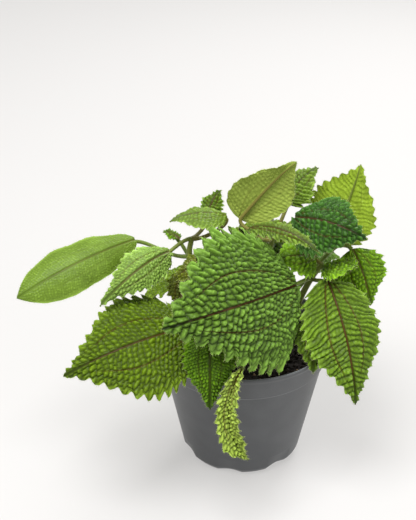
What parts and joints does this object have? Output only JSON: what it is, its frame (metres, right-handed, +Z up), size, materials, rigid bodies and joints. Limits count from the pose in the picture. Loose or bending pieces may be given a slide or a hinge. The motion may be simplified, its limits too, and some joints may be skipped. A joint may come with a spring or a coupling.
{
  "type": "potted friendship plant",
  "caption": "Potted friendship plant with deeply quilted, saw-edged green leaves on short shoots in a tapered grey nursery pot.",
  "frame": {"origin": "middle of the pot's underside, at the height it rests on", "axes": "+Z up; the plant's fullest side, with its largest leaf, faces -Y"},
  "size_m": [0.2076, 0.1651, 0.1843],
  "materials": {
    "pot_plastic": "matte",
    "soil": "rough",
    "stem": "matte",
    "leaf_green": "matte",
    "leaf_dark": "matte",
    "leaf_pale": "matte"
  },
  "bodies": {
    "root": {"pot": "pot_plastic", "soil": "soil", "stem_right": "stem", "stem_back": "stem", "stem_left": "stem", "stem_low": "stem", "stem_rear": "stem", "leaf_front": "leaf_green", "leaf_right_low": "leaf_green", "leaf_right_mid": "leaf_green", "leaf_right_out": "leaf_green", "leaf_crown": "leaf_pale", "leaf_dark": "leaf_dark", "leaf_sunlit": "leaf_pale", "leaf_arched": "leaf_green", "leaf_far_right": "leaf_green", "leaf_back_tall": "leaf_green", "leaf_left_far": "leaf_green", "leaf_left_bent": "leaf_green", "leaf_left_top": "leaf_green", "leaf_left_olive": "leaf_green", "leaf_left_shade": "leaf_green", "leaf_low_left": "leaf_green", "leaf_low_mid": "leaf_green", "leaf_low_thin": "leaf_green", "leaf_rear_left": "leaf_green", "leaf_rear_right": "leaf_green", "leaf_rear_low": "leaf_green"}
  },
  "joints": []
}
